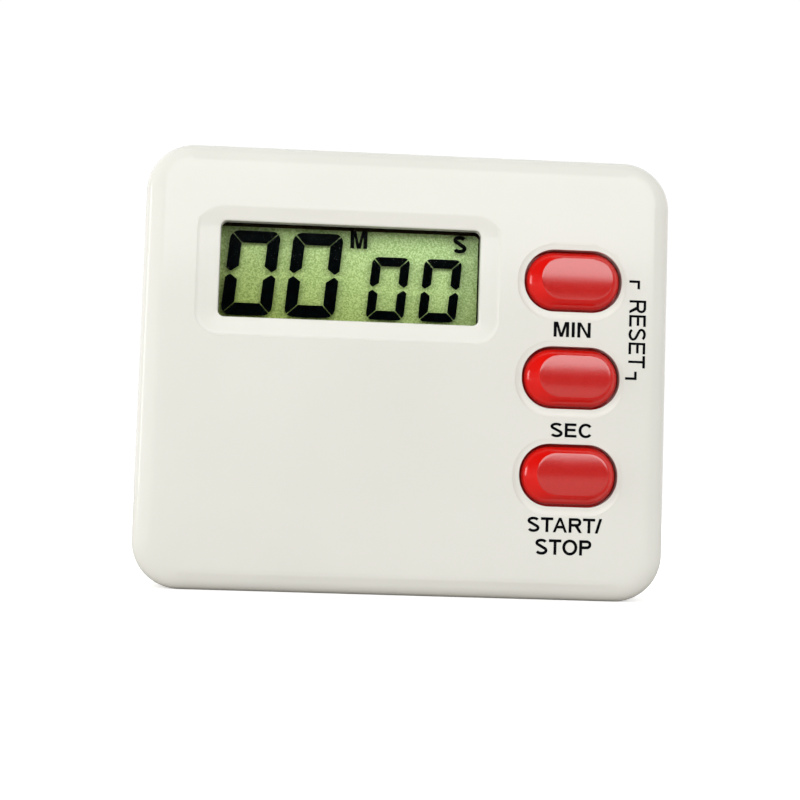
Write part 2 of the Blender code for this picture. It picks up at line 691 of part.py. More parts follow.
# ---- Leads ----
def curve_points(places, steps=4):
    """A smooth line through the places, as a Catmull-Rom curve."""
    ends = [places[0], *places, places[-1]]
    points = []
    for a, b, c, d in zip(ends, ends[1:], ends[2:], ends[3:]):
        for i in range(steps):
            t = i / steps
            points.append(
                tuple(
                    0.5 * (2 * q + (r - p) * t + (2 * p - 5 * q + 4 * r - s) * t**2)
                    + 0.5 * (3 * q - p - 3 * r + s) * t**3
                    for p, q, r, s in zip(a, b, c, d)
                )
            )
    return [*points, places[-1]]


def leads():
    red = material("red_lead", (0.5, 0.02, 0.02), 0.4)
    black = material("black_lead", (0.02, 0.02, 0.02), 0.4)
    plus_x = TUB_X[0] + 0.1 + CONTACT_T + 0.6
    minus_x = TUB_X[1] - 0.1 - CONTACT_T - 0.6
    plus = ((plus_x, 2.5, 23.6), (plus_x, 2.5, 25.5), (-31.0, 2.6, 31.5), (-28.0, 0.9, 33.5))
    minus = ((minus_x, 2.5, 23.5), (minus_x, 2.5, 25.0), (10.5, 2.6, 26.5), (9.5, 0.9, 31.5))
    plate = ((20.5, 4.8, 16.5), (18.6, 3.6, 20.0), (18.0, 2.2, 24.0), (18.5, 0.9, 26.5))
    ceramic = ((26.3, 4.5, 17.0), (24.5, 3.2, 21.0), (22.5, 2.0, 25.0), (22.0, 0.9, 28.0))
    routes = (
        ("battery_lead_red", red, plus),
        ("battery_lead_black", black, minus),
        ("sounder_lead_red", red, plate),
        ("sounder_lead_black", black, ceramic),
    )
    for name, finish, places in routes:
        wire(name, curve_points(places), LEAD_R, finish)


def main():
    for made in list(bpy.data.objects):
        bpy.data.objects.remove(made)
    front_shell()
    rear_shell()
    battery_door()
    screws()
    display()
    circuit_board()
    board_parts()
    keypad()
    contacts(cell())
    sounder()
    stand()
    magnets()
    leads()
    turn_to_metres()


main()
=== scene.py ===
"""The looks of a small digital kitchen timer: glossy white case, red buttons, display and printed words.

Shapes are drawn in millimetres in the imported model's frame and turned to metres when each piece is made.
The timer stands on its bottom edge with its face towards -Y, and +X is to the right of its reader."""

import json
import math

import bmesh
import bpy
from mathutils import Matrix, Vector


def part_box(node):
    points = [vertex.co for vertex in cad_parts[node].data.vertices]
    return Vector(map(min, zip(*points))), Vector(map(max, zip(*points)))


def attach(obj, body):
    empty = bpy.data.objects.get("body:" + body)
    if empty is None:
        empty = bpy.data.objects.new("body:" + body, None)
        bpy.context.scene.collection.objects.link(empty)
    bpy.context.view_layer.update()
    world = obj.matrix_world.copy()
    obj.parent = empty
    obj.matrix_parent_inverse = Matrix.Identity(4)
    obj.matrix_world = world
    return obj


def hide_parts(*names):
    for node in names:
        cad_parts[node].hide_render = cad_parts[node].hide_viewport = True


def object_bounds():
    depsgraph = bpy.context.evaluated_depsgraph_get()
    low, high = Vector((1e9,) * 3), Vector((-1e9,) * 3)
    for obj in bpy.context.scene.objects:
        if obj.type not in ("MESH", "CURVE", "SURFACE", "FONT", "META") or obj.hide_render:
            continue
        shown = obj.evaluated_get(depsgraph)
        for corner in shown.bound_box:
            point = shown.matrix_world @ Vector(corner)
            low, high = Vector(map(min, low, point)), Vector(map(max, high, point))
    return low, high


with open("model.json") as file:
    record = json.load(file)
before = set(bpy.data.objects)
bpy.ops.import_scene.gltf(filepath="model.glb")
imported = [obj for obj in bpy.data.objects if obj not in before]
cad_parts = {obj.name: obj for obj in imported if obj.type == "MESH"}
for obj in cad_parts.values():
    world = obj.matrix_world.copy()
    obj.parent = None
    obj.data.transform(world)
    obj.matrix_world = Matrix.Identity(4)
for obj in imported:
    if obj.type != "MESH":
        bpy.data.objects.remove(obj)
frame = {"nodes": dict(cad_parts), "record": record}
cad_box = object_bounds()

METRES_PER_MM = 0.001
SHARP_ANGLE = math.radians(30)


# ---- Sizes from the frame, in millimetres ----
def limits(node):
    """A CAD node's limits along X, Y and Z."""
    low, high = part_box(node)
    return [(a / METRES_PER_MM, b / METRES_PER_MM) for a, b in zip(low, high)]


def inset(span, margin):
    return (span[0] + margin, span[1] - margin)


def in_metres(span):
    return tuple(value * METRES_PER_MM for value in span)


CASE_X, FRONT_Y, CASE_Z = limits("front_shell")
FACE_Y, SEAM_Y = FRONT_Y
CORNER_R = 6.8
EDGE_WIDTH, EDGE_DEPTH, EDGE_POWER = 3.6, 2.6, 2.6
WALL = 1.8
CROWN = 0.19
CASE_MIDDLE = (sum(CASE_X) / 2, sum(CASE_Z) / 2)
CASE_HALF = ((CASE_X[1] - CASE_X[0]) / 2, (CASE_Z[1] - CASE_Z[0]) / 2)

LENS_X, LENS_Y, LENS_Z = limits("display_window")
LENS_FRAME = 1.4
WINDOW_X, WINDOW_Z = inset(LENS_X, LENS_FRAME), inset(LENS_Z, LENS_FRAME)
WINDOW_R, WINDOW_EDGE_R = 0.9, 0.2
BEZEL_LEFT, BEZEL_RIGHT, BEZEL_BELOW, BEZEL_ABOVE = 3.25, 2.85, 2.7, 2.2
BEZEL_X = (WINDOW_X[0] - BEZEL_LEFT, WINDOW_X[1] + BEZEL_RIGHT)
BEZEL_Z = (WINDOW_Z[0] - BEZEL_BELOW, WINDOW_Z[1] + BEZEL_ABOVE)
BEZEL_R = 3.3
BEZEL_LIP, BEZEL_FALL, BEZEL_TOP_FALL = 0.13, 0.12, 0.25
LIP_WIDTH, BEZEL_CURVE = 0.13, 1.6
BEZEL_TOP_START, BEZEL_TOP_BLEND = 1.5, 2.5
DISH_LEAN, DISH_LEAN_X, DISH_LEAN_Z, DISH_CURVE = 0.5, 0.25, 0.4, 2.5
OVERCUT = 1

BUTTON_FLANGE, FLANGE_THICKNESS = 0.85, 1.0
BUTTON_R = 4.15
BUTTON_FIT = 0.15
BUTTON_INSET = -0.18
FLAT_LEFT, FLAT_RIGHT, FLAT_BELOW, FLAT_ABOVE, FLAT_R = 2.2, 1.28, 1.5, 1.15, 2.9
DISH_LEFT, DISH_RIGHT, DISH_BELOW, DISH_ABOVE = 1.15, 0.8, 1.43, 0.95
DISH_R, DISH_DEEP, DISH_SHALLOW, HOLE_EDGE_R = 5.2, 0.22, 0.05, 0.10
BUTTONS = {"min": "min_key", "sec": "sec_key", "start_stop": "start_stop_key"}

STROKE_BIG, STROKE_SMALL = 1.75, 1.32
SEGMENT_GAP = 0.16
SEGMENT_THICKNESS = 0.05
SLANT = math.tan(math.radians(5))
PRINT_THICKNESS, MARK_LINE = 0.06, 0.36


# ---- Materials ----
class Shader:
    """A Principled material whose colour, roughness and relief come from nodes."""

    def __init__(self, name, metallic=0.0):
        self.material = bpy.data.materials.new(name)
        self.material.use_nodes = True
        self.tree = self.material.node_tree
        self.surface = self.tree.nodes["Principled BSDF"]
        self.surface.inputs["Metallic"].default_value = metallic
        self.place = self.tree.nodes.new("ShaderNodeTexCoord").outputs["Object"]

    def link(self, source, target):
        self.tree.links.new(source, target)

    def node(self, kind, **values):
        made = self.tree.nodes.new(kind)
        for key, value in values.items():
            setattr(made, key, value)
        return made

    def stretched(self, scale):
        """The piece's own coordinates, scaled apart along X, Y and Z."""
        mapping = self.node("ShaderNodeMapping")
        mapping.inputs["Scale"].default_value = scale
        self.link(self.place, mapping.inputs["Vector"])
        return mapping.outputs["Vector"]

    def noise(self, scale, detail=2.0, vector=None):
        made = self.node("ShaderNodeTexNoise")
        made.inputs["Scale"].default_value = scale
        made.inputs["Detail"].default_value = detail
        self.link(vector or self.place, made.inputs["Vector"])
        return made.outputs["Fac"]

    def ramp(self, source, stops, constant=False):
        """Colours along a value; each stop is a position and a colour."""
        made = self.node("ShaderNodeValToRGB")
        made.color_ramp.interpolation = "CONSTANT" if constant else "LINEAR"
        elements = made.color_ramp.elements
        while len(elements) < len(stops):
            elements.new(0.5)
        for element, (position, colour) in zip(elements, stops):
            element.position = position
            element.color = (*colour, 1.0)
        self.link(source, made.inputs["Fac"])
        return made.outputs["Color"]

    def spread(self, source, low, high, start=0.3, end=0.7):
        """A value mapped from start..end to low..high."""
        made = self.node("ShaderNodeMapRange")
        for socket, value in (("From Min", start), ("From Max", end), ("To Min", low), ("To Max", high)):
            made.inputs[socket].default_value = value
        self.link(source, made.inputs["Value"])
        return made.outputs["Result"]

    def mix(self, part, first, second):
        made = self.node("ShaderNodeMix", data_type="RGBA")
        self.link(part, made.inputs[0])
        self.link(first, made.inputs[6])
        self.link(second, made.inputs[7])
        return made.outputs[2]

    def colour(self, source):
        self.link(source, self.surface.inputs["Base Color"])

    def roughness(self, source):
        self.link(source, self.surface.inputs["Roughness"])

    def relief(self, source, height, strength=1.0):
        """Bumps of a height in metres."""
        made = self.node("ShaderNodeBump")
        made.inputs["Distance"].default_value = height
        made.inputs["Strength"].default_value = strength
        self.link(source, made.inputs["Height"])
        self.link(made.outputs["Normal"], self.surface.inputs["Normal"])


def grained(name, dark, light, rough, scale=900.0, metallic=0.0, height=4e-6, vector_scale=None):
    """A finish with a fine grain in its colour, roughness and relief."""
    shader = Shader(name, metallic)
    vector = shader.stretched(vector_scale) if vector_scale else None
    grain = shader.noise(scale, 3.0, vector)
    shader.colour(shader.ramp(grain, ((0.3, dark), (0.7, light))))
    shader.roughness(shader.spread(grain, *rough))
    shader.relief(grain, height)
    return shader.material


def dull(material):
    """Takes the gloss away."""
    material.node_tree.nodes["Principled BSDF"].inputs["Specular IOR Level"].default_value = 0.0
    return material


def white_plastic():
    """Glossy moulded white with a faint mould texture and a trace of unevenness."""
    shader = Shader("white_plastic")
    cloud = shader.noise(45.0, 2.0)
    shader.colour(shader.ramp(cloud, ((0.3, (0.63, 0.63, 0.585)), (0.7, (0.65, 0.65, 0.605)))))
    grain = shader.noise(1600.0, 3.0)
    shader.roughness(shader.spread(grain, 0.10, 0.15))
    shader.relief(shader.noise(260.0, 2.0), 5e-6)
    shader.surface.inputs["Specular IOR Level"].default_value = 0.32
    return shader.material


def red_gloss():
    shader = Shader("red_gloss")
    cloud = shader.noise(300.0, 2.0)
    shader.colour(shader.ramp(cloud, ((0.3, (0.56, 0.0030, 0.0010)), (0.7, (0.61, 0.0042, 0.0014)))))
    shader.roughness(shader.spread(shader.noise(2200.0, 3.0), 0.10, 0.16))
    shader.relief(cloud, 5e-6)
    return shader.material


def red_satin():
    """The buttons' flats: the same plastic with a fine spark-eroded grain."""
    shader = Shader("red_satin")
    grain = shader.noise(5200.0, 4.0)
    shader.colour(shader.ramp(grain, ((0.3, (0.42, 0.0030, 0.0010)), (0.7, (0.49, 0.0052, 0.0024)))))
    shader.roughness(shader.spread(grain, 0.13, 0.18))
    shader.relief(grain, 5e-6)
    shader.surface.inputs["Specular IOR Level"].default_value = 1.2
    return shader.material


# painted shade: the near-black finish of the sheet that stands in for the shade under the window's edges
def painted_shade_ink():
    dark, light = (0.007, 0.005, 0.0015), (0.013, 0.010, 0.003)
    return dull(grained("painted_shade_ink", dark, light, (0.4, 0.6), 2000.0))


def ink():
    return dull(grained("printed_ink", (0.002, 0.002, 0.003), (0.005, 0.005, 0.006), (0.5, 0.65), 3000.0))


def reflector():
    """The display's sparkling grey-green ground, with painted light: a shaded and a lit copy of it are
    mixed, so it gets brighter towards the upper right and darker towards the left.
    """
    shader = Shader("display_reflector")
    grain = shader.noise(4800.0, 4.0)
    # painted light: low is a shaded copy of the ground and high a lit copy
    low = shader.ramp(grain, ((0.38, (0.19, 0.27, 0.04)), (0.62, (0.41, 0.51, 0.13))))
    high = shader.ramp(grain, ((0.38, (0.36, 0.56, 0.20)), (0.62, (0.70, 0.90, 0.50))))
    split = shader.node("ShaderNodeSeparateXYZ")
    shader.link(shader.place, split.inputs["Vector"])
    (left, right), _, (bottom, top) = (in_metres(span) for span in limits("display_reflector"))
    across = shader.spread(split.outputs["X"], -0.25, 0.35, left, right)
    up = shader.spread(split.outputs["Z"], 0.0, 1.0, bottom, top)
    # painted light: the lit copy takes over towards the right and the top
    painted_light = shader.node("ShaderNodeMath", operation="ADD", use_clamp=True)
    shader.link(across, painted_light.inputs[0])
    shader.link(up, painted_light.inputs[1])
    shader.colour(shader.mix(painted_light.outputs["Value"], low, high))
    shader.roughness(shader.spread(grain, 0.42, 0.6))
    shader.relief(grain, 6e-6)
    return shader.material


def segment_black():
    dark, light = (0.0004, 0.0010, 0.0012), (0.0012, 0.0022, 0.0026)
    return dull(grained("display_segments", dark, light, (0.5, 0.7), 4000.0))


def clear(name, tint, gloss_rough, ior):
    """Thin clear sheet: it lets light straight through and keeps a gloss that grows at a slant."""
    shader = Shader(name)
    tree = shader.tree
    tree.nodes.remove(shader.surface)
    through = shader.node("ShaderNodeBsdfTransparent")
    haze = shader.noise(500.0, 2.0)
    dark = tuple(0.994 * value for value in tint)
    shader.link(shader.ramp(haze, ((0.3, dark), (0.7, tint))), through.inputs["Color"])
    gloss = shader.node("ShaderNodeBsdfGlossy")
    gloss.inputs["Roughness"].default_value = gloss_rough
    fresnel = shader.node("ShaderNodeFresnel")
    fresnel.inputs["IOR"].default_value = ior
    blend = shader.node("ShaderNodeMixShader")
    shader.link(fresnel.outputs["Fac"], blend.inputs["Fac"])
    shader.link(through.outputs["BSDF"], blend.inputs[1])
    shader.link(gloss.outputs["BSDF"], blend.inputs[2])
    shader.link(blend.outputs["Shader"], tree.nodes["Material Output"].inputs["Surface"])
    return shader.material


def cell_jacket():
    """A plain cell: a dark jacket with a copper-coloured band at its positive end."""
    shader = Shader("cell_jacket")
    split = shader.node("ShaderNodeSeparateXYZ")
    shader.link(shader.place, split.inputs["Vector"])
    (start, end), _, _ = limits("battery_cell")
    along = shader.spread(split.outputs["X"], 0.0, 1.0, start * METRES_PER_MM, end * METRES_PER_MM)
    metal, copper, jacket = (0.62, 0.60, 0.56), (0.55, 0.26, 0.10), (0.018, 0.020, 0.026)
    bands = ((0.0, metal), (0.03, copper), (0.27, jacket), (0.985, metal))
    shader.colour(shader.ramp(along, bands, constant=True))
    scratches = shader.noise(700.0, 3.0, shader.stretched((0.2, 1.0, 1.0)))
    shader.roughness(shader.spread(scratches, 0.22, 0.34))
    shader.relief(scratches, 3e-6)
    return shader.material


def board_green():
    """Solder mask over copper tracks that show as paler lines."""
    shader = Shader("board_green")
    tracks = shader.node("ShaderNodeTexVoronoi", feature="DISTANCE_TO_EDGE", distance="CHEBYCHEV")
    tracks.inputs["Scale"].default_value = 260.0
    shader.link(shader.place, tracks.inputs["Vector"])
    over_copper, mask = (0.06, 0.26, 0.09), (0.02, 0.11, 0.04)
    shader.colour(shader.ramp(tracks.outputs["Distance"], ((0.03, over_copper), (0.06, mask))))
    shader.roughness(shader.spread(shader.noise(900.0), 0.25, 0.4))
    shader.relief(tracks.outputs["Distance"], 1e-5)
    return shader.material


def slot_finishes():
    """A finish for every slot of the record that a carried-over CAD node uses."""
    nickel = grained("nickel", (0.60, 0.58, 0.54), (0.74, 0.72, 0.68), (0.16, 0.32), 1400.0, 1.0)
    return {
        "carbon_rubber": grained("carbon_rubber", (0.012, 0.012, 0.012), (0.03, 0.03, 0.03), (0.6, 0.8)),
        "clear_window": clear("clear_window", (0.995, 0.997, 0.993), 0.06, 1.05),
        "display_glass": clear("display_glass", (0.98, 0.99, 0.975), 0.02, 1.15),
        "polariser": clear("polariser", (0.965, 0.975, 0.94), 0.12, 1.15),
        "reflector": reflector(),
        "holder_plastic": grained("holder_plastic", (0.62, 0.62, 0.6), (0.7, 0.7, 0.68), (0.45, 0.6)),
        "elastomer": grained(
            "elastomer", (0.05, 0.05, 0.05), (0.78, 0.74, 0.7), (0.5, 0.7), 2500.0, vector_scale=(1, 0, 0)
        ),
        "keypad_rubber": grained("keypad_rubber", (0.42, 0.42, 0.41), (0.5, 0.5, 0.49), (0.65, 0.85)),
        "board": board_green(),
        "black_resin": grained("black_resin", (0.01, 0.01, 0.01), (0.025, 0.025, 0.026), (0.25, 0.45)),
        "ceramic_tan": grained("ceramic_tan", (0.42, 0.30, 0.19), (0.55, 0.42, 0.28), (0.4, 0.6)),
        "capacitor_sleeve": grained(
            "capacitor_sleeve", (0.015, 0.03, 0.07), (0.03, 0.05, 0.11), (0.2, 0.35)
        ),
        "nickel_can": nickel,
        "nickel_contact": nickel,
        "copper_coil": grained(
            "copper_coil", (0.40, 0.15, 0.05), (0.72, 0.34, 0.15), (0.25, 0.4), 4000.0, 1.0,
            vector_scale=(0, 1, 0),
        ),
        "brass_plate": grained(
            "brass_plate", (0.60, 0.43, 0.17), (0.76, 0.58, 0.27), (0.2, 0.36), metallic=1.0
        ),
        "piezo_ceramic": grained("piezo_ceramic", (0.62, 0.61, 0.57), (0.72, 0.71, 0.67), (0.35, 0.55)),
        "cell_jacket": cell_jacket(),
        "steel_screw": grained(
            "zinc_steel", (0.46, 0.46, 0.47), (0.66, 0.66, 0.67), (0.24, 0.42), metallic=1.0
        ),
        "magnet": grained(
            "magnet_nickel", (0.52, 0.51, 0.49), (0.68, 0.67, 0.65), (0.16, 0.34), 500.0, 1.0,
            vector_scale=(1.0, 1.0, 0.15),
        ),
        "red_lead": grained("red_lead", (0.42, 0.01, 0.01), (0.52, 0.02, 0.02), (0.3, 0.45)),
        "black_lead": grained("black_lead", (0.01, 0.01, 0.01), (0.025, 0.025, 0.025), (0.3, 0.45)),
    }


# ---- Outlines in the XZ plane ----
def arc(x, z, radius, start, end, count):
    """Points along a circular arc, angles in degrees, both ends included."""
    angles = (math.radians(start + (end - start) * i / count) for i in range(count + 1))
    return [(x + radius * math.cos(a), z + radius * math.sin(a)) for a in angles]


def rounded(x, z, radius, count=16):
    """A rounded rectangle between the limits x and z."""
    (x0, x1), (z0, z1) = x, z
    return (
        arc(x1 - radius, z1 - radius, radius, 0, 90, count)
        + arc(x0 + radius, z1 - radius, radius, 90, 180, count)
        + arc(x0 + radius, z0 + radius, radius, 180, 270, count)
        + arc(x1 - radius, z0 + radius, radius, 270, 360, count)
    )


def blend(first, second, part):
    return first + (second - first) * part


def case_outline(margin=0.0):
    return rounded(inset(CASE_X, margin), inset(CASE_Z, margin), CORNER_R - margin, 24)


def between_outlines(inner, outer, inner_r, outer_r, part):
    """A rounded rectangle on the way from an inner one, at part 0, to an outer one, at part 1."""
    x, z = (tuple(blend(a, b, part) for a, b in zip(*spans)) for spans in zip(inner, outer))
    return rounded(x, z, blend(inner_r, outer_r, part), 16)


def bezel_outline(part):
    """Between the window, at part 0, and the sunk band's outer edge, at part 1."""
    return between_outlines((WINDOW_X, WINDOW_Z), (BEZEL_X, BEZEL_Z), WINDOW_R, BEZEL_R, part)


def button_limits(name):
    """The limits of a button's cap, without the flange behind the wall."""
    x, y, z = limits(f"{name}_button")
    return inset(x, BUTTON_FLANGE), y, inset(z, BUTTON_FLANGE)


def button_outline(name, grow):
    x, _, z = button_limits(name)
    return rounded(inset(x, -grow), inset(z, -grow), BUTTON_R + grow, 16)


def dish_outline(name, part):
    """Between the rounded edge of a button's hole, at part 0, and the dish's outer edge, at part 1."""
    x, _, z = button_limits(name)
    grow = BUTTON_FIT + HOLE_EDGE_R
    hole = (inset(x, -grow), inset(z, -grow))
    dish = ((x[0] - DISH_LEFT, x[1] + DISH_RIGHT), (z[0] - DISH_BELOW, z[1] + DISH_ABOVE))
    return between_outlines(hole, dish, BUTTON_R + grow, DISH_R, part)


# ---- Solids ----
def finish_mesh(build):
    bmesh.ops.recalc_face_normals(build, faces=build.faces)
    mesh = bpy.data.meshes.new("shape")
    build.to_mesh(mesh)
    build.free()
    return mesh


def loft_mesh(sections):
    """A closed solid through sections, each a depth and an outline, or an outline of (x, y, z)."""
    build = bmesh.new()
    rings = [[build.verts.new(point) for point in points_at(*section)] for section in sections]
    for lower, upper in zip(rings, rings[1:]):
        for i, corner in enumerate(lower):
            j = (i + 1) % len(lower)
            build.faces.new((corner, lower[j], upper[j], upper[i]))
    build.faces.new(rings[0])
    build.faces.new(list(reversed(rings[-1])))
    return finish_mesh(build)


def points_at(depth, outline):
    """The outline's points at a depth, which is a number or a function of x and z."""
    height = depth if callable(depth) else lambda x, z: depth
    return [(x, height(x, z), z) for x, z in outline]


def new_object(name, mesh, *materials):
    made = bpy.data.objects.new(name, mesh)
    bpy.context.scene.collection.objects.link(made)
    for material in materials:
        mesh.materials.append(material)
    return made


def cut(target, mesh):
    """Takes a closed mesh out of target."""
    tool = new_object("cutter", mesh)
    change = target.modifiers.new("cut", "BOOLEAN")
    change.operation = "DIFFERENCE"
    change.object = tool
    evaluated = target.evaluated_get(bpy.context.evaluated_depsgraph_get())
    result = bpy.data.meshes.new_from_object(evaluated)
    target.modifiers.clear()
    target.data = result
    bpy.data.objects.remove(tool)


def shade(piece, angle=SHARP_ANGLE):
    piece.data.shade_smooth()
    piece.data.set_sharp_from_angle(angle=angle)
    normals = piece.modifiers.new("normals", "WEIGHTED_NORMAL")
    normals.keep_sharp = True


def place(piece, body, slot, *nodes):
    """Turns a piece to metres and makes it ride on its body."""
    piece.data.transform(Matrix.Scale(METRES_PER_MM, 4))
    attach(piece, body)
    if nodes:
        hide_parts(*nodes)
    return piece


# ---- Front of the case ----
def crown(x, z):
    """How far the face falls back from its highest plane: hardly in the middle, most at the edges."""
    across = abs(x - CASE_MIDDLE[0]) / CASE_HALF[0]
    up = abs(z - CASE_MIDDLE[1]) / CASE_HALF[1]
    return CROWN * min(1.2, across**6 + up**6)


def rounded_edge(width, depth, power, steps):
    """How far in and how far back each ring of an edge lies, along a quarter of a squarish oval."""
    turns = (math.radians(90) * i / steps for i in range(steps + 1))
    return [
        (width * (1 - math.sin(t) ** (2 / power)), depth * (1 - max(math.cos(t), 0) ** (2 / power)))
        for t in turns
    ]


def opening_edge(radius, outline, depth):
    """The rings of a small rounded edge round an opening; outline(grow) is the opening's grown outline."""
    turns = (math.radians(30 * i) for i in range(4))
    return [(depth + radius * (1 - math.cos(t)), outline(radius * (1 - math.sin(t)))) for t in turns]


def bezel_depth(inward):
    """The depth of the sunk band at a part of its width inward: a lip, then a gentle fall to the window.
    Above the window there is no lip, and the band starts level with the face."""
    lip = BEZEL_LIP * (1 - (1 - min(inward / LIP_WIDTH, 1)) ** BEZEL_CURVE)
    side = lip + BEZEL_FALL * inward
    top = BEZEL_TOP_FALL * inward**BEZEL_CURVE

    def depth(x, z):
        above = min(max((z - WINDOW_Z[1] + BEZEL_TOP_START) / BEZEL_TOP_BLEND, 0), 1)
        return FACE_Y + blend(side, top, above)

    return depth


def window_shape():
    """The window, its rounded edge and the shallow band round it."""
    rings = (0, 0.03, 0.06, 0.09, LIP_WIDTH, 0.2, 0.35, 0.5, 0.65, 0.8, 0.92)
    sections = [(FACE_Y - OVERCUT, bezel_outline(1.0))]
    sections += [(bezel_depth(inward), bezel_outline(1 - inward)) for inward in rings]
    floor_y = FACE_Y + BEZEL_LIP + BEZEL_FALL

    def opening(grow):
        return rounded(inset(WINDOW_X, -grow), inset(WINDOW_Z, -grow), WINDOW_R + grow, 16)

    sections += opening_edge(WINDOW_EDGE_R, opening, floor_y)
    sections.append((FACE_Y + WALL + OVERCUT, opening(0)))
    return loft_mesh(sections)


def dish_depth(name, fullness, extra=0.0):
    """The dish's depth at a part of its fullness: deep at its lower left, shallow at its upper right."""
    x, _, z = button_limits(name)
    middle, half = (sum(x) / 2, sum(z) / 2), ((x[1] - x[0]) / 2, (z[1] - z[0]) / 2)

    def depth(px, pz):
        lean = DISH_LEAN - DISH_LEAN_Z * (pz - middle[1]) / half[1]
        lean -= DISH_LEAN_X * (px - middle[0]) / half[0]
        full = blend(DISH_SHALLOW, DISH_DEEP, min(max(lean, 0), 1))
        return FACE_Y + full * fullness + extra

    return depth


def dish_shape(name):
    """The shallow dish about a button, steepest at its outer edge, and the hole that holds the button."""
    steps = 10
    sections = [(FACE_Y - OVERCUT, dish_outline(name, 1.0))]
    for i in range(steps):
        inward = i / steps
        sections.append((dish_depth(name, 1 - (1 - inward) ** DISH_CURVE), dish_outline(name, 1 - inward)))

    def hole(grow):
        return button_outline(name, BUTTON_FIT + grow)

    for back, outline in opening_edge(HOLE_EDGE_R, hole, 0.0):
        sections.append((dish_depth(name, 1.0, back), outline))
    sections.append((FACE_Y + WALL + OVERCUT, hole(0)))
    return loft_mesh(sections)


def slice_face(mesh, step=1.5):
    """Cuts the mesh into a grid, so that the flat face can be crowned."""
    build = bmesh.new()
    build.from_mesh(mesh)
    for axis, span in ((0, CASE_X), (2, CASE_Z)):
        normal = [0, 0, 0]
        normal[axis] = 1
        for i in range(1, int((span[1] - span[0]) / step)):
            point = [0, 0, 0]
            point[axis] = span[0] + i * step
            faces = [f for f in build.faces if f.calc_center_median().y < FACE_Y + 0.05]
            edges = {e for f in faces for e in f.edges}
            verts = {v for f in faces for v in f.verts}
            bmesh.ops.bisect_plane(
                build, geom=[*verts, *edges, *faces], dist=1e-5, plane_co=point, plane_no=normal
            )
    build.to_mesh(mesh)
    build.free()


def case_front(material):
    edge = rounded_edge(EDGE_WIDTH, EDGE_DEPTH, EDGE_POWER, 16)
    sections = [(FACE_Y + back, case_outline(margin)) for margin, back in edge]
    sections.append((SEAM_Y, case_outline()))
    piece = new_object("case_front", loft_mesh(sections), material)
    cut(piece, loft_mesh([(FACE_Y + WALL, case_outline(WALL)), (SEAM_Y + OVERCUT, case_outline(WALL))]))
    cut(piece, window_shape())
    for name in BUTTONS:
        cut(piece, dish_shape(name))
    slice_face(piece.data)
    for vertex in piece.data.vertices:
        fade = max(0.0, 1 - (vertex.co.y - FACE_Y) / EDGE_DEPTH)
        vertex.co.y += crown(vertex.co.x, vertex.co.z) * min(1.0, fade)
    shade(piece, math.radians(14))
    place(piece, "root", "white_case", "front_shell")


# ---- Buttons ----
def flat_limits(name):
    """The limits of the button's satin flat, which sits up and to the right in the cap."""
    x, _, z = button_limits(name)
    return (x[0] + FLAT_LEFT, x[1] - FLAT_RIGHT), (z[0] + FLAT_BELOW, z[1] - FLAT_ABOVE)


def dome(name, fall=0.0):
    """The depth of the button's very shallow dome as a function of x and z, sunk by a fall."""
    top = button_limits(name)[1][0]
    spans = flat_limits(name)
    middle = [sum(span) / 2 for span in spans]
    half = [(span[1] - span[0]) / 2 for span in spans]

    def depth(px, pz):
        across, up = (px - middle[0]) / half[0], (pz - middle[1]) / half[1]
        return top + fall + 0.05 * min(across**2, 1.5) + 0.155 * min(up**2, 1.5)

    return depth


def cap_outline(name, part):
    """Between the satin flat, at part 0, and the cap's side, at part 1."""
    x, _, z = button_limits(name)
    cap = (inset(x, -BUTTON_INSET), inset(z, -BUTTON_INSET))
    return between_outlines(flat_limits(name), cap, FLAT_R, BUTTON_R + BUTTON_INSET, part)


def button(name, body, gloss, satin):
    """A cap with a satin flat, a crease round it, and a glossy rim that falls away into the gap."""
    bottom = button_limits(name)[1][1]
    x, z = flat_limits(name)
    rings = 9
    sections = []
    for i in range(rings + 1):
        shrink = (FLAT_R - 0.08) * (1 - i / rings)
        sections.append((dome(name), rounded(inset(x, shrink), inset(z, shrink), FLAT_R - shrink)))
    satin_faces = rings * len(sections[0][1])
    rim = (
        (0.02, 0.01), (0.05, 0.04), (0.2, 0.19), (0.35, 0.36), (0.5, 0.56),
        (0.65, 0.79), (0.78, 1.02), (0.88, 1.24), (0.95, 1.45), (1.0, 1.75),
    )
    for part, fall in rim:
        sections.append((dome(name, fall), cap_outline(name, part)))
    flange_top = bottom - FLANGE_THICKNESS
    for depth, grow in ((flange_top, BUTTON_INSET), (flange_top, BUTTON_FLANGE), (bottom, BUTTON_FLANGE)):
        sections.append((depth, button_outline(name, grow)))
    piece = new_object(f"{name}_cap", loft_mesh(sections), gloss, satin)
    for face in piece.data.polygons[:satin_faces]:
        face.material_index = 1
    piece.data.polygons[-2].material_index = 1
    shade(piece, math.radians(35))
    place(piece, body, "red_button", f"{name}_button")


# ---- Display ----
def mirrored(points, flip_x, flip_z):
    return [(-x if flip_x else x, -z if flip_z else z) for x, z in points]


def side_segment(width, height, stroke, outer_r):
    """The upper left bar of a seven-bar zero about its own middle, pointed at mid-height."""
    left, top = -width / 2, height / 2
    gap = SEGMENT_GAP / 2 / outer_r
    diagonal = arc(left + outer_r, top - outer_r, outer_r, 135 + math.degrees(gap), 180, 8)
    shift = SEGMENT_GAP * 0.7
    middle = 0.24
    return [
        (left + stroke, top - stroke - shift),
        *diagonal,
        (left, middle + 0.26 * stroke),
        (left + 0.32 * stroke, middle),
        (left + 0.42 * stroke, middle),
        (left + stroke, middle + 0.42 * stroke),
    ]


def end_segment(width, height, stroke, outer_r):
    """The top bar of a seven-bar zero about its own middle."""
    left, top = -width / 2, height / 2
    gap = math.degrees(SEGMENT_GAP / 2 / outer_r)
    left_arc = arc(left + outer_r, top - outer_r, outer_r, 135 - gap, 90, 8)
    right_arc = [(-x, z) for x, z in reversed(left_arc)]
    inner = -left - stroke - SEGMENT_GAP * 0.7
    return [(-inner, top - stroke), *left_arc, *right_arc, (inner, top - stroke)]


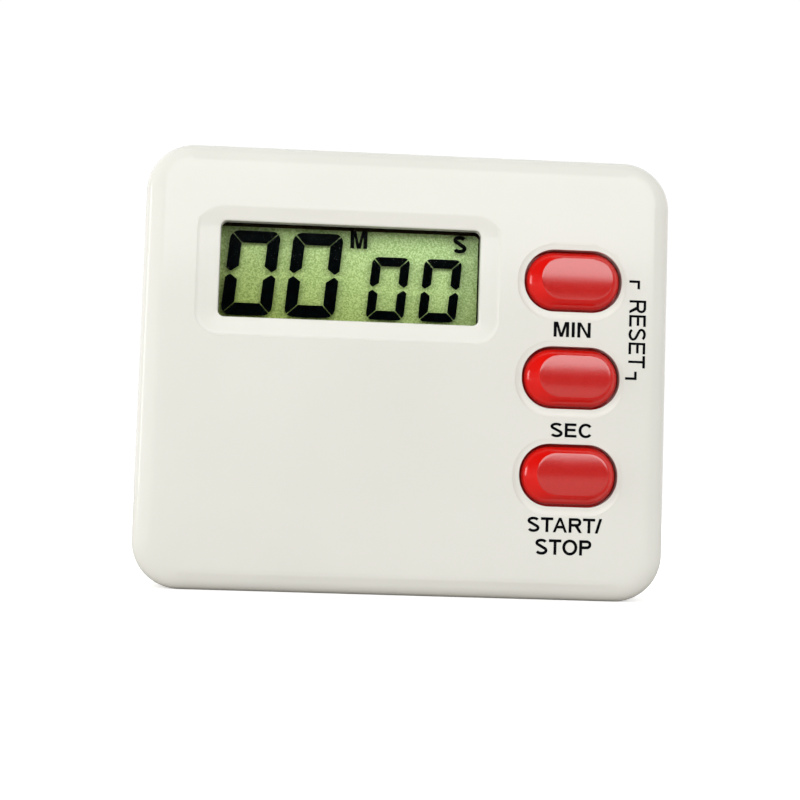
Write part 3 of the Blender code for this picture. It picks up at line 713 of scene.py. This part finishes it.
def zero_bars(width, height, stroke):
    """The six lit bars of a zero."""
    outer_r = 0.75 * stroke
    side = side_segment(width, height, stroke, outer_r)
    end = end_segment(width, height, stroke, outer_r)
    bars = [mirrored(side, x, z) for x in (False, True) for z in (False, True)]
    return [*bars, end, mirrored(end, False, True)]


def plate_mesh(outlines, y, thickness):
    """Thin flat bars from the depth y, which is a number or a function of x and z."""
    build = bmesh.new()
    for outline in outlines:
        face = build.faces.new([build.verts.new(point) for point in points_at(y, outline)])
        grown = bmesh.ops.extrude_face_region(build, geom=[face])
        moved = [item for item in grown["geom"] if isinstance(item, bmesh.types.BMVert)]
        bmesh.ops.translate(build, verts=moved, vec=(0, thickness, 0))
    return finish_mesh(build)


def digits(material, y):
    """Two large zeros for minutes and two small ones for seconds."""
    big = {"middle_z": 45.2, "width": 7.2, "height": 12.2, "stroke": STROKE_BIG}
    small = {"middle_z": 43.7, "width": 5.45, "height": 9.1, "stroke": STROKE_SMALL}
    places = (
        ("minute_tens", -22.42, big),
        ("minute_units", -13.38, big),
        ("second_tens", -2.66, small),
        ("second_units", 4.86, small),
    )
    for name, middle_x, form in places:
        bars = zero_bars(form["width"], form["height"], form["stroke"])
        leaning = [[(middle_x + x + SLANT * z, form["middle_z"] + z) for x, z in bar] for bar in bars]
        piece = new_object(f"digit_{name}", plate_mesh(leaning, y, SEGMENT_THICKNESS), material)
        place(piece, "root", "black_lead")


# ---- Words ----
def pen(route, weight):
    """The outline of a stroke of a weight along a smooth route."""
    left, right = [], []
    for i, (x, z) in enumerate(route):
        before, after = route[max(i - 1, 0)], route[min(i + 1, len(route) - 1)]
        dx, dz = after[0] - before[0], after[1] - before[1]
        reach = weight / 2 / math.hypot(dx, dz)
        left.append((x - dz * reach, z + dx * reach))
        right.append((x + dz * reach, z - dx * reach))
    return left + right[::-1]


def oval(x, z, half_x, half_z, start=0, end=360, count=32):
    """Points along an ellipse, angles in degrees."""
    return [(x + half_x * a, z + half_z * b) for a, b in arc(0, 0, 1, start, end, count)]


def letter(character, w):
    """A plain capital one unit high in strokes of weight w: its side bearings and its closed outlines."""
    top, bowl = 1 - w, 0.42
    if character == "A":
        legs = [(0, 0), (0.375, 1), (0.545, 1), (0.92, 0)]
        legs += [(0.75, 0), (0.645, 0.27), (0.275, 0.27), (0.17, 0)]
        return (-0.05, 0.02), [legs, [(0.325, 0.27 + w), (0.46, 0.775), (0.595, 0.27 + w)]]
    if character == "C":
        return (0.06, 0.05), [pen(oval(0.46, 0.5, 0.46 - w / 2, 0.52 - w / 2, 38, 322), w)]
    if character == "E":
        arms = [(0, 0), (0, 1), (0.74, 1), (0.74, top), (w, top), (w, 0.53 + w / 2), (0.69, 0.53 + w / 2)]
        arms += [(0.69, 0.53 - w / 2), (w, 0.53 - w / 2), (w, w), (0.76, w), (0.76, 0)]
        return (0.08, 0.06), [arms]
    if character == "I":
        return (0.08, 0.08), [[(0, 0), (0, 1), (w, 1), (w, 0)]]
    if character == "M":
        half = [(0, 0), (0, 1), (1.38 * w, 1)]
        feet = [(0.475 - w / 2, 0), (w, 0.69), (w, 0)]
        outline = half + [(0.475, 0.27)] + [(0.95 - x, z) for x, z in half[::-1]]
        return (0.08, 0.08), [outline + [(0.95 - x, z) for x, z in feet[::-1]] + feet]
    if character == "N":
        slope = [(0, 0), (0, 1), (1.15 * w, 1), (0.82 - w, 0.25), (0.82 - w, 1)]
        return (0.08, 0.08), [slope + [(0.82 - x, 1 - z) for x, z in slope]]
    if character == "O":
        return (0.04, 0.04), [oval(0.485, 0.5, 0.485, 0.52), oval(0.485, 0.5, 0.485 - w, 0.52 - w)]
    if character == "P":
        outer = [(0, 0), (0, 1), *arc(0.49, 0.71, 0.29, 90, -90, 16), (w, bowl), (w, 0)]
        return (0.08, 0.03), [outer, [(w, top), *arc(0.49, 0.71, 0.29 - w, 90, -90, 16), (w, bowl + w)]]
    if character == "R":
        outer = [(0, 0), (0, 1), *arc(0.53, 0.71, 0.29, 90, -70, 16), (0.865, 0), (0.675, 0)]
        outer += [(0.41, bowl), (w, bowl), (w, 0)]
        return (0.08, 0.02), [outer, [(w, top), *arc(0.53, 0.71, 0.29 - w, 90, -90, 16), (w, bowl + w)]]
    if character == "S":
        upper = oval(0.385, 0.755, 0.385 - w / 2, 0.263 - w / 2, 22, 240, 20)
        lower = oval(0.395, 0.265, 0.395 - w / 2, 0.285 - w / 2, 60, -158, 20)
        return (0.05, 0.05), [pen(upper + lower, w)]
    if character == "T":
        stem = [(0, 1), (0, top), (0.4 - w / 2, top), (0.4 - w / 2, 0)]
        return (0.03, 0.03), [stem + [(0.8 - x, z) for x, z in stem[::-1]]]
    return (-0.05, 0.0), [[(0, 0), (0.28, 1), (0.28 + w, 1), (w, 0)]]


def word_curve(name, text, weight):
    """A word in plain capitals one unit high, as a filled curve."""
    curve = bpy.data.curves.new(name, "CURVE")
    curve.dimensions = "2D"
    curve.fill_mode = "BOTH"
    curve.extrude = 0.5
    along = 0.0
    for character in text:
        (before, after), outlines = letter(character, weight)
        along += before
        for outline in outlines:
            spline = curve.splines.new("POLY")
            spline.points.add(len(outline) - 1)
            for point, (x, z) in zip(spline.points, outline):
                point.co = (along + x, z, 0, 1)
            spline.use_cyclic_u = True
        along += max(x for outline in outlines for x, _ in outline) + after
    return curve


def word(name, text, x, z, y, thickness, material, weight, downward=False):
    """A printed word that fills the limits x and z at the depth y, a function of both. A downward word
    reads from top to bottom."""
    guide = new_object(name, word_curve(name, text, weight))
    mesh = bpy.data.meshes.new_from_object(guide.evaluated_get(bpy.context.evaluated_depsgraph_get()))
    bpy.data.objects.remove(guide)
    if downward:
        mesh.transform(Matrix.Rotation(math.radians(-90), 4, "Z"))
    low = [min(v.co[axis] for v in mesh.vertices) for axis in (0, 1)]
    high = [max(v.co[axis] for v in mesh.vertices) for axis in (0, 1)]
    for vertex in mesh.vertices:
        across = (vertex.co.x - low[0]) / (high[0] - low[0])
        up = (vertex.co.y - low[1]) / (high[1] - low[1])
        px, pz = blend(*x, across), blend(*z, up)
        vertex.co = (px, y(px, pz) + (0 if vertex.co.z > 0 else thickness), pz)
    build = bmesh.new()
    build.from_mesh(mesh)
    bmesh.ops.remove_doubles(build, verts=build.verts, dist=1e-4)
    place(new_object(name, finish_mesh(build), material), "root", "black_lead")


def on_face(x, z):
    """The depth of print on the case's face."""
    return FACE_Y + crown(x, z) - 0.02


def printed_words(material):
    words = (
        ("label_min", "MIN", (20.9, 26.2), (37.25, 39.4), 0.188, False),
        ("label_sec", "SEC", (20.8, 26.65), (22.98, 25.05), 0.188, False),
        ("label_start", "START/", (17.9, 28.5), (9.55, 11.7), 0.188, False),
        ("label_stop", "STOP", (19.1, 27.05), (6.4, 8.65), 0.188, False),
        ("label_reset", "RESET", (31.65, 34.15), (33.2, 42.9), 0.155, True),
    )
    for name, text, x, z, weight, downward in words:
        word(name, text, x, z, on_face, PRINT_THICKNESS, material, weight, downward)
    marks = (("upper", (31.6, 33.15), (45.75, 44.5)), ("lower", (31.3, 32.95), (31.5, 32.7)))
    for name, (left, right), (edge, far) in marks:
        under = edge + math.copysign(MARK_LINE, far - edge)
        hook = [(left, edge), (right, edge), (right, far)]
        hook += [(right - MARK_LINE, far), (right - MARK_LINE, under), (left, under)]
        piece = new_object(f"reset_mark_{name}", plate_mesh([hook], on_face, PRINT_THICKNESS), material)
        place(piece, "root", "black_lead")


def display_cell():
    """The display's two glasses and the film on them, as the one clear plate that they look like."""
    x, _, z = limits("display_front_glass")
    front = limits("front_polariser")[1][0]
    rear = limits("display_rear_glass")[1][1]
    corners = [(x[0], z[0]), (x[1], z[0]), (x[1], z[1]), (x[0], z[1])]
    mesh = loft_mesh([(front, corners), (rear, corners)])
    piece = new_object("display_cell", mesh, clear("cell_glass", (0.985, 0.995, 0.965), 0.15, 1.03))
    place(piece, "root", "display_glass", "front_polariser", "display_front_glass", "display_rear_glass")


def window_shade_sheet(material):
    """A dark sheet on the display window's back, put where the shade under the window's top and right
    edges falls: painted shade, which shows only along the top and the right.
    """
    build = bmesh.new()
    outer = (inset(LENS_X, 0.1), inset(LENS_Z, 0.1))
    # the opening reaches past the window at the left and the bottom and stops short of it at the top and
    # the right, so the painted shade shows only there
    opening = ((WINDOW_X[0] - 0.3, WINDOW_X[1] - 0.12), (WINDOW_Z[0] - 0.3, WINDOW_Z[1] - 0.36))
    rings = []
    for y in (LENS_Y[1] + 0.01, LENS_Y[1] + 0.05):
        for span, radius in ((outer, 0.5), (opening, 0.6)):
            rings.append([build.verts.new((px, y, pz)) for px, pz in rounded(*span, radius, 6)])
    front_outer, front_inner, back_outer, back_inner = rings
    loops = (front_outer, front_inner, back_inner, back_outer, front_outer)
    for first, second in zip(loops, loops[1:]):
        for i, corner in enumerate(first):
            j = (i + 1) % len(first)
            build.faces.new((corner, first[j], second[j], second[i]))
    piece = new_object("window_shade_sheet", finish_mesh(build), material)
    place(piece, "root", "black_resin")


def display(material):
    """What the display shows: the bars lie between its two glasses."""
    _, front_glass, _ = limits("display_front_glass")
    between = front_glass[1] + 0.02
    digits(material, between)
    letters = (
        ("minutes", "M", (-8.3, -5.87), (49.35, 51.85)),
        ("seconds", "S", (6.57, 8.5), (49.25, 51.8)),
    )
    for name, text, x, z in letters:
        word(f"letter_{name}", text, x, z, lambda px, pz: between, SEGMENT_THICKNESS, material, 0.22)


# ---- Pieces carried over from the frame with eased edges ----
def eased(name, node, body, slot, material, width):
    """The CAD node's own shape, with its flat faces joined up and its sharp edges eased."""
    build = bmesh.new()
    build.from_mesh(frame["nodes"][node].data)
    build.transform(Matrix.Scale(1 / METRES_PER_MM, 4))
    bmesh.ops.remove_doubles(build, verts=build.verts, dist=1e-3)
    bmesh.ops.dissolve_limit(build, angle_limit=math.radians(0.6), verts=build.verts, edges=build.edges)
    mesh = bpy.data.meshes.new(name)
    build.to_mesh(mesh)
    build.free()
    mesh.materials.clear()
    piece = new_object(name, mesh, material)
    bevel = piece.modifiers.new("eased", "BEVEL")
    bevel.width = width * METRES_PER_MM
    bevel.segments = 3
    bevel.limit_method = "ANGLE"
    bevel.angle_limit = SHARP_ANGLE
    bevel.use_clamp_overlap = True
    shade(piece)
    place(piece, body, slot, node)


def finish_nodes():
    """Gives every CAD node that still shows the finish of its slot."""
    finishes = slot_finishes()
    slots = {part["node"]: part["material_slot"] for part in frame["record"]["subparts"]}
    for name, node in frame["nodes"].items():
        if not node.hide_render and slots[name] in finishes:
            node.data.materials.clear()
            node.data.materials.append(finishes[slots[name]])


# ---- Stage ----
def floor():
    """A pale floor that brightens to white away from the timer. It throws little light back up."""
    build = bmesh.new()
    bmesh.ops.create_circle(build, cap_ends=True, segments=96, radius=1.6)
    shader = Shader("floor")
    pale = shader.ramp(shader.noise(3.0), ((0.3, (0.90, 0.90, 0.90)), (0.7, (0.93, 0.93, 0.93))))
    dim = shader.ramp(shader.noise(3.0), ((0.3, (0.44, 0.41, 0.38)), (0.7, (0.47, 0.44, 0.41))))
    seen = shader.node("ShaderNodeLightPath").outputs["Is Camera Ray"]
    shader.colour(shader.mix(seen, dim, pale))
    shader.roughness(shader.spread(shader.noise(40.0), 0.8, 0.9))
    away = shader.node("ShaderNodeVectorMath", operation="LENGTH")
    shader.link(shader.place, away.inputs[0])
    glow = shader.node("ShaderNodeMath", operation="MULTIPLY")
    shader.link(shader.spread(away.outputs["Value"], 0.40, 0.95, 0.04, 0.14), glow.inputs[0])
    shader.link(seen, glow.inputs[1])
    shader.surface.inputs["Emission Color"].default_value = (1, 1, 1, 1)
    shader.link(glow.outputs["Value"], shader.surface.inputs["Emission Strength"])
    new_object("floor", finish_mesh(build), shader.material)


def softbox(name, azimuth, elevation, distance, size, radiance, aim, in_gloss=True):
    """A soft rectangular light that faces the aim point. Azimuth 0 is in front of the face, and without
    in_gloss the light doesn't show in reflections."""
    lamp = bpy.data.lights.new(name, "AREA")
    lamp.shape = "RECTANGLE"
    lamp.size, lamp.size_y = size
    lamp.energy = radiance * math.pi * size[0] * size[1]
    made = bpy.data.objects.new(name, lamp)
    bpy.context.scene.collection.objects.link(made)
    a, e = math.radians(azimuth), math.radians(elevation)
    offset = Vector((math.sin(a) * math.cos(e), -math.cos(a) * math.cos(e), math.sin(e))) * distance
    made.location = aim + offset
    made.rotation_euler = (-offset).to_track_quat("-Z", "Y").to_euler()
    made.visible_glossy = in_gloss


def studio():
    """A room that differs by ray: white to the camera, a soft fill on matt surfaces and dim in gloss."""
    world = bpy.data.worlds.new("studio")
    bpy.context.scene.world = world
    world.use_nodes = True
    tree = world.node_tree
    nodes, links = tree.nodes, tree.links
    nodes.clear()
    rays = nodes.new("ShaderNodeLightPath")
    heading = nodes.new("ShaderNodeTexCoord")
    split = nodes.new("ShaderNodeSeparateXYZ")
    links.new(heading.outputs["Generated"], split.inputs["Vector"])

    def along(source, start, end, low, high):
        """Light that goes from low to high as a part of the heading goes from start to end."""
        span = nodes.new("ShaderNodeMapRange")
        for socket, value in (("From Min", start), ("From Max", end), ("To Min", low), ("To Max", high)):
            span.inputs[socket].default_value = value
        links.new(source, span.inputs["Value"])
        return span.outputs["Result"]

    def choose(part, first, second):
        mixed = nodes.new("ShaderNodeMix")
        links.new(part, mixed.inputs[0])
        links.new(first, mixed.inputs[2])
        links.new(second, mixed.inputs[3])
        return mixed.outputs[0]

    sideways = nodes.new("ShaderNodeMath")
    sideways.operation = "ABSOLUTE"
    links.new(split.outputs["X"], sideways.inputs[0])
    fill = nodes.new("ShaderNodeMath")
    links.new(along(split.outputs["Y"], -0.3, 0.5, 0.18, 0.9), fill.inputs[0])
    links.new(along(sideways.outputs["Value"], 0.5, 0.95, 0.0, 1.5), fill.inputs[1])
    gloss = along(split.outputs["Y"], -0.1, 0.5, 0.05, 1.0)
    lit = choose(rays.outputs["Is Glossy Ray"], fill.outputs["Value"], gloss)
    white = nodes.new("ShaderNodeValue").outputs[0]
    white.default_value = 1.05
    background = nodes.new("ShaderNodeBackground")
    background.inputs["Color"].default_value = (1, 1, 1, 1)
    links.new(choose(rays.outputs["Is Camera Ray"], lit, white), background.inputs["Strength"])
    output = nodes.new("ShaderNodeOutputWorld")
    links.new(background.outputs["Background"], output.inputs["Surface"])
    middle = (cad_box[0] + cad_box[1]) / 2
    softbox("key_softbox", 8, 23.5, 0.9, (0.85, 0.44), 2.95, middle)
    softbox("left_softbox", -46, 7, 0.8, (1.04, 0.28), 4.2, middle, in_gloss=False)
    softbox("right_softbox", 36, 9, 0.8, (0.32, 0.26), 3.4, middle, in_gloss=False)
    softbox("edge_softbox", -76, 7, 0.8, (0.10, 0.30), 8.0, middle)
    bpy.context.scene.view_settings.view_transform = "Standard"


def camera():
    """A short lens just above the floor, a little left of the timer and looking slightly up."""
    lens = bpy.data.cameras.new("camera")
    lens.lens = 64.16
    lens.sensor_width = 36.0
    lens.clip_start = 0.005
    made = bpy.data.objects.new("camera", lens)
    bpy.context.scene.collection.objects.link(made)
    made.location = (-0.0107, -0.2080, 0.0150)
    yaw, pitch, roll = (math.radians(v) for v in (2.89, 3.56, 1.87))
    turn = Matrix.Rotation(-yaw, 4, "Z") @ Matrix.Rotation(math.radians(90) + pitch, 4, "X")
    made.rotation_euler = (turn @ Matrix.Rotation(roll, 4, "Z")).to_euler()
    bpy.context.scene.camera = made


def main():
    white = white_plastic()
    case_front(white)
    gloss, satin = red_gloss(), red_satin()
    for name, body in BUTTONS.items():
        button(name, body, gloss, satin)
    display_cell()
    display(segment_black())
    # the dark sheet is painted shade along the window's top and right edges
    window_shade_sheet(painted_shade_ink())
    printed_words(ink())
    eased("case_back", "rear_shell", "root", "white_case", white, 0.14)
    eased("battery_cover", "battery_door", "door", "white_case", white, 0.10)
    eased("folding_stand", "fold_out_stand", "stand", "white_case", white, 0.14)
    finish_nodes()
    floor()
    studio()
    camera()


main()
